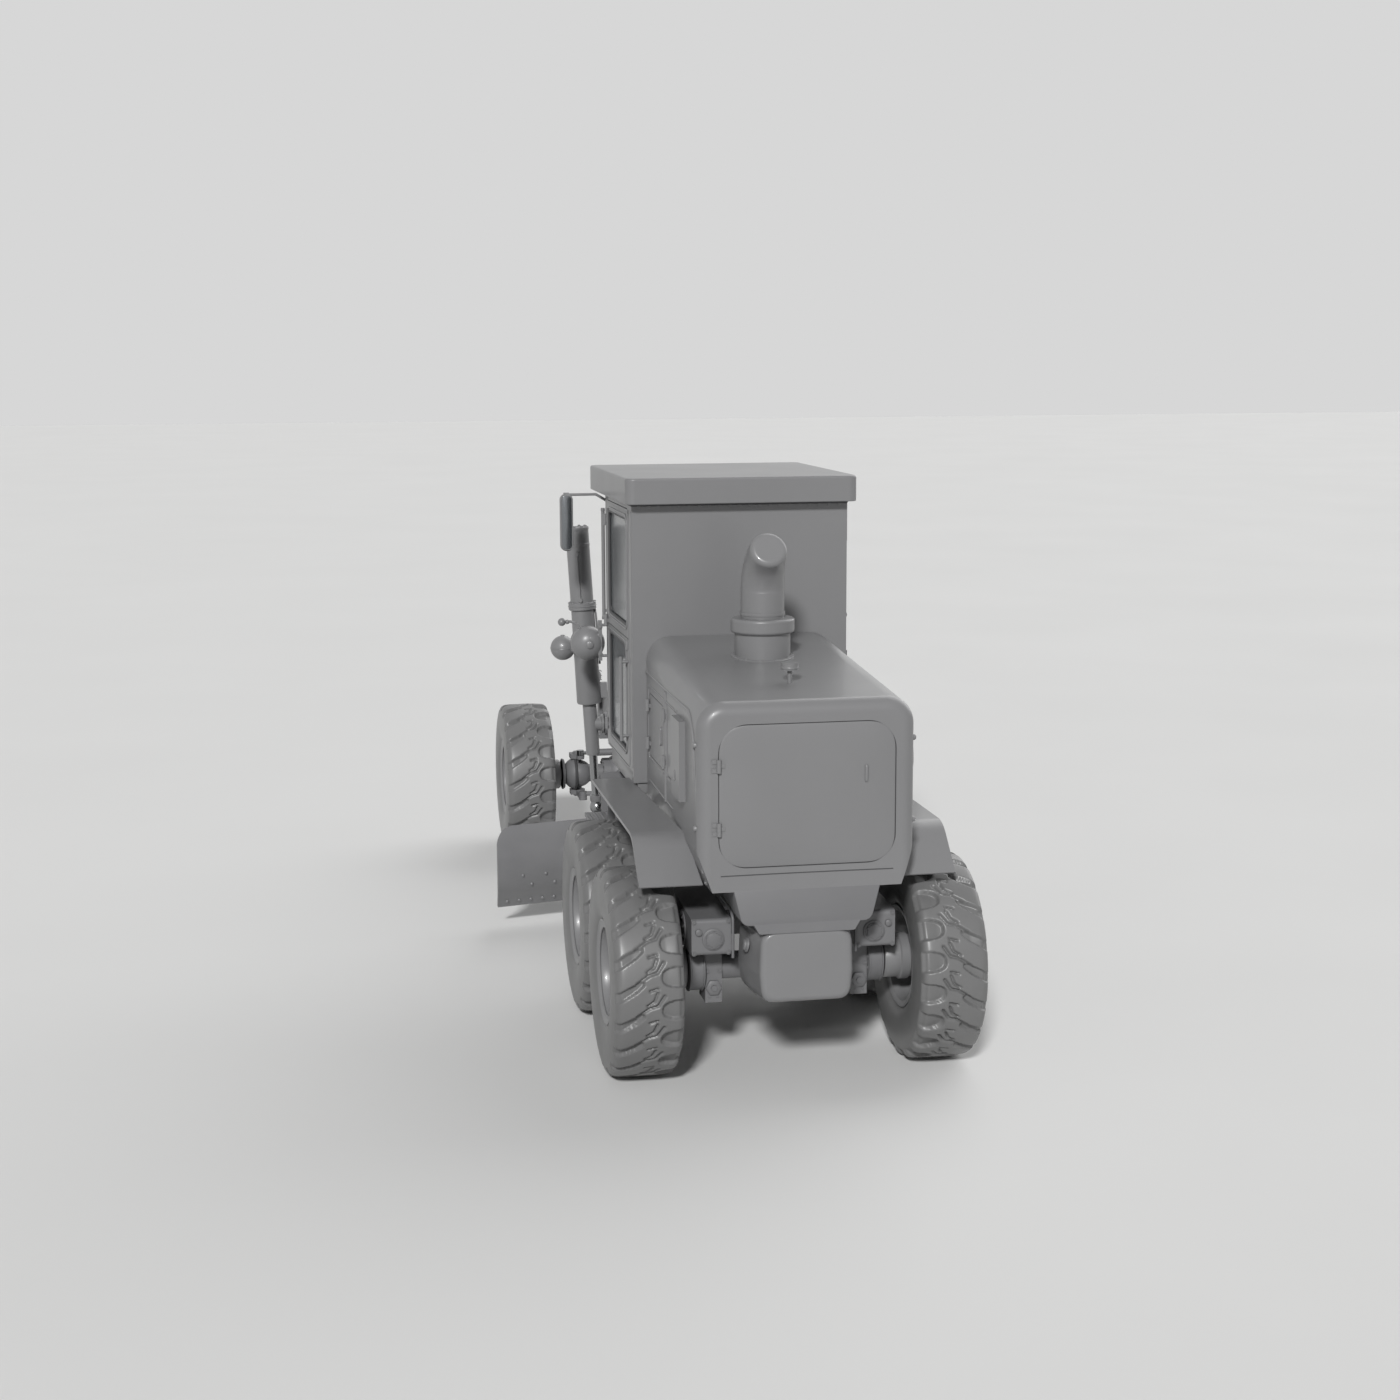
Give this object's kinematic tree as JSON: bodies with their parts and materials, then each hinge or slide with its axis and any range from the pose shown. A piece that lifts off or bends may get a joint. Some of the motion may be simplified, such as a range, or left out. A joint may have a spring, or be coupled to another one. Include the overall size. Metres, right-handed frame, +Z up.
{
  "type": "motor grader",
  "caption": "Rigid-frame all-wheel-drive motor grader with rear hood, central cab, walking-beam rear bogie and a blade on a turning circle.",
  "frame": {"origin": "on the ground, on the centre line, halfway along the machine's length", "axes": "+X towards the front axle, +Y to the machine's left, +Z up"},
  "size_m": [9.008, 3.3823, 4.127],
  "materials": {
    "body_paint": "semi-gloss enamel over pressed steel",
    "chassis_paint": "semi-gloss enamel over welded plate",
    "wheel_paint": "semi-gloss enamel",
    "blade_steel": "worn enamel over rolled steel",
    "tyre_rubber": null,
    "window_glass": "tempered glass",
    "rod_chrome": "ground and plated",
    "seat_vinyl": "grained vinyl over foam",
    "console_plastic": "textured moulding",
    "engine_iron": "painted casting"
  },
  "bodies": {
    "chassis": {"main_frame": "chassis_paint", "front_frame": "chassis_paint", "nose_block": "chassis_paint", "cab_floor": "body_paint", "cab_rear_panel": "body_paint", "front_axle": "chassis_paint", "rear_axles": "chassis_paint", "walking_beams": "chassis_paint", "engine_hood": "body_paint", "engine_block": "engine_iron", "rear_tank": "chassis_paint", "fenders": "body_paint", "exhaust_stack": "body_paint", "filler_cap": "body_paint", "cab_shell": "body_paint", "cab_roof": "body_paint", "cab_glass": "window_glass", "cab_seat": "seat_vinyl", "control_console": "console_plastic", "mirrors": "body_paint", "lamps": "body_paint", "access_steps": "body_paint", "handrails": "body_paint", "steer_tube": "chassis_paint"},
    "wheel_rear_left": {"rim_rear_left": "wheel_paint", "tyre_rear_left": "tyre_rubber"},
    "wheel_rear_right": {"rim_rear_right": "wheel_paint", "tyre_rear_right": "tyre_rubber"},
    "wheel_mid_left": {"rim_mid_left": "wheel_paint", "tyre_mid_left": "tyre_rubber"},
    "wheel_mid_right": {"rim_mid_right": "wheel_paint", "tyre_mid_right": "tyre_rubber"},
    "wheel_front_left": {"rim_front_left": "wheel_paint", "tyre_front_left": "tyre_rubber"},
    "wheel_front_right": {"rim_front_right": "wheel_paint", "tyre_front_right": "tyre_rubber"},
    "knuckle_left": {"knuckle_left": "chassis_paint"},
    "lift_tube_left": {"lift_tube_left": "body_paint"},
    "lift_rod_left": {"lift_rod_left": "rod_chrome"},
    "cab_door_left": {"cab_door_left": "body_paint", "door_glass_left": "window_glass"},
    "hood_door_front_left": {"hood_door_front_left": "body_paint"},
    "hood_door_rear_left": {"hood_door_rear_left": "body_paint"},
    "knuckle_right": {"knuckle_right": "chassis_paint"},
    "lift_tube_right": {"lift_tube_right": "body_paint"},
    "lift_rod_right": {"lift_rod_right": "rod_chrome"},
    "cab_door_right": {"cab_door_right": "body_paint", "door_glass_right": "window_glass"},
    "hood_door_front_right": {"hood_door_front_right": "body_paint"},
    "hood_door_rear_right": {"hood_door_rear_right": "body_paint"},
    "tie_rod": {"tie_rod": "chassis_paint"},
    "steer_rod": {"steer_rod": "rod_chrome"},
    "drawbar": {"drawbar": "chassis_paint", "circle_shoes": "chassis_paint"},
    "circle": {"circle": "chassis_paint", "shift_tube": "chassis_paint"},
    "blade": {"blade": "blade_steel", "shift_rod": "rod_chrome"},
    "hood_rear_door": {"hood_rear_door": "body_paint"}
  },
  "joints": [
    {"name": "roll_rear_left", "type": "hinge", "parent": "chassis", "child": "wheel_rear_left", "pos_m": [-3.74, 1.075, 0.745], "axis": [0, 1, 0], "continuous": true},
    {"name": "roll_rear_right", "type": "hinge", "parent": "chassis", "child": "wheel_rear_right", "pos_m": [-3.74, -1.075, 0.745], "axis": [0, 1, 0], "continuous": true},
    {"name": "roll_mid_left", "type": "hinge", "parent": "chassis", "child": "wheel_mid_left", "pos_m": [-2.169, 1.075, 0.745], "axis": [0, 1, 0], "continuous": true},
    {"name": "roll_mid_right", "type": "hinge", "parent": "chassis", "child": "wheel_mid_right", "pos_m": [-2.169, -1.075, 0.745], "axis": [0, 1, 0], "continuous": true},
    {"name": "roll_front_left", "type": "hinge", "parent": "knuckle_left", "child": "wheel_front_left", "pos_m": [3.563, 1.075, 0.745], "axis": [0, 1, 0], "continuous": true},
    {"name": "roll_front_right", "type": "hinge", "parent": "knuckle_right", "child": "wheel_front_right", "pos_m": [3.563, -1.075, 0.745], "axis": [0, 1, 0], "continuous": true},
    {"name": "steer_left", "type": "hinge", "parent": "chassis", "child": "knuckle_left", "pos_m": [3.563, 0.52, 0.745], "axis": [0, 0, 1], "range_deg": [-45, 45]},
    {"name": "steer_right", "type": "hinge", "parent": "chassis", "child": "knuckle_right", "pos_m": [3.563, -0.52, 0.745], "axis": [0, 0, 1], "range_deg": [-45, 45]},
    {"name": "tie_rod_turn", "type": "hinge", "parent": "knuckle_left", "child": "tie_rod", "pos_m": [3.243, 0.52, 0.592], "axis": [0, 0, 1], "range_deg": [-45, 45]},
    {"name": "steer_rod_slide", "type": "slide", "parent": "chassis", "child": "steer_rod", "axis": [0, 1, 0], "range_m": [-0.1065, 0.1065]},
    {"name": "drawbar_lift", "type": "hinge", "parent": "chassis", "child": "drawbar", "pos_m": [3.043, 0, 1.18], "axis": [0, 1, 0], "range_deg": [-10, 6]},
    {"name": "lift_swing_left", "type": "hinge", "parent": "chassis", "child": "lift_tube_left", "pos_m": [-0.14, 0.88348, 1.9], "axis": [0, 1, 0], "range_deg": [-1.2, 0.7]},
    {"name": "lift_slide_left", "type": "slide", "parent": "lift_tube_left", "child": "lift_rod_left", "axis": [0, 0.0596, 0.9982], "range_m": [-0.556, 0.334]},
    {"name": "lift_swing_right", "type": "hinge", "parent": "chassis", "child": "lift_tube_right", "pos_m": [-0.14, -0.88348, 1.9], "axis": [0, 1, 0], "range_deg": [-1.2, 0.7]},
    {"name": "lift_slide_right", "type": "slide", "parent": "lift_tube_right", "child": "lift_rod_right", "axis": [0, -0.0596, 0.9982], "range_m": [-0.556, 0.334]},
    {"name": "circle_turn", "type": "hinge", "parent": "drawbar", "child": "circle", "pos_m": [0.6, 0, 1], "axis": [0, 0, 1], "continuous": true},
    {"name": "blade_shift", "type": "slide", "parent": "circle", "child": "blade", "axis": [-0.225, 0.9744, 0], "range_m": [-0.44, 0.44]},
    {"name": "cab_door_left", "type": "hinge", "parent": "chassis", "child": "cab_door_left", "pos_m": [-0.922, 0.854, 2.88], "axis": [0, 0, -1], "range_deg": [0, 90]},
    {"name": "cab_door_right", "type": "hinge", "parent": "chassis", "child": "cab_door_right", "pos_m": [-0.922, -0.854, 2.88], "axis": [0, 0, 1], "range_deg": [0, 90]},
    {"name": "hood_door_front_left", "type": "hinge", "parent": "chassis", "child": "hood_door_front_left", "pos_m": [-2.387, 0.75053, 2.28], "axis": [0, 0, -1], "range_deg": [0, 90]},
    {"name": "hood_door_front_right", "type": "hinge", "parent": "chassis", "child": "hood_door_front_right", "pos_m": [-2.387, -0.75053, 2.28], "axis": [0, 0, 1], "range_deg": [0, 90]},
    {"name": "hood_door_rear_left", "type": "hinge", "parent": "chassis", "child": "hood_door_rear_left", "pos_m": [-3.157, 0.75841, 2.28], "axis": [0, 0, -1], "range_deg": [0, 90]},
    {"name": "hood_door_rear_right", "type": "hinge", "parent": "chassis", "child": "hood_door_rear_right", "pos_m": [-3.157, -0.75841, 2.28], "axis": [0, 0, 1], "range_deg": [0, 90]},
    {"name": "hood_rear_door", "type": "hinge", "parent": "chassis", "child": "hood_rear_door", "pos_m": [-4.504, 0.613, 2.1], "axis": [0, 0, -1], "range_deg": [0, 110]}
  ],
  "couplings": [
    {"joint": "steer_right", "follows": "steer_left", "ratio": 1},
    {"joint": "tie_rod_turn", "follows": "steer_left", "ratio": -1},
    {"joint": "steer_rod_slide", "follows": "steer_left", "m_per_rad": -0.1351},
    {"joint": "lift_swing_left", "follows": "drawbar_lift", "ratio": 0.11},
    {"joint": "lift_slide_left", "follows": "drawbar_lift", "m_per_rad": 3.175},
    {"joint": "lift_swing_right", "follows": "drawbar_lift", "ratio": 0.11},
    {"joint": "lift_slide_right", "follows": "drawbar_lift", "m_per_rad": 3.175}
  ]
}
